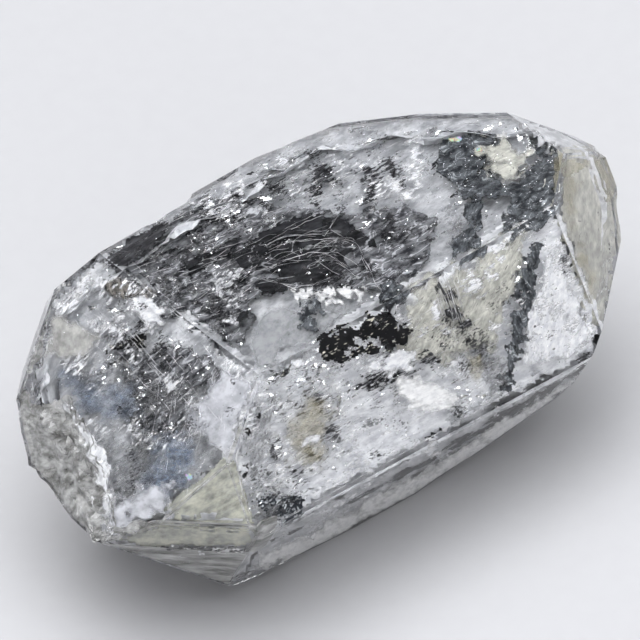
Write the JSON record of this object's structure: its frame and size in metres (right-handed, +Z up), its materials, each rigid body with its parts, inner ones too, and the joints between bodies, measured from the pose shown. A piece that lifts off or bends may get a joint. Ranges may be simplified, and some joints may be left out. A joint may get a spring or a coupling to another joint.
{
  "type": "herkimer diamond quartz crystal",
  "caption": "Clear, much fractured double-ended quartz crystal: six flat sides, a six-faced point at each end, one end broken, lying on a small flat.",
  "frame": {"origin": "below the middle of the crystal, on the level of the flat that it rests on", "axes": "+X along the crystal's long axis towards its yellowish right end, +Z up and square to its largest side face"},
  "size_m": [0.0561, 0.0295, 0.0222],
  "materials": {
    "clear_quartz": "clear natural quartz with flat lustrous faces, white veils and fractures inside, and faint yellow iron stains"
  },
  "bodies": {
    "root": {"crystal": "clear_quartz"}
  },
  "joints": []
}
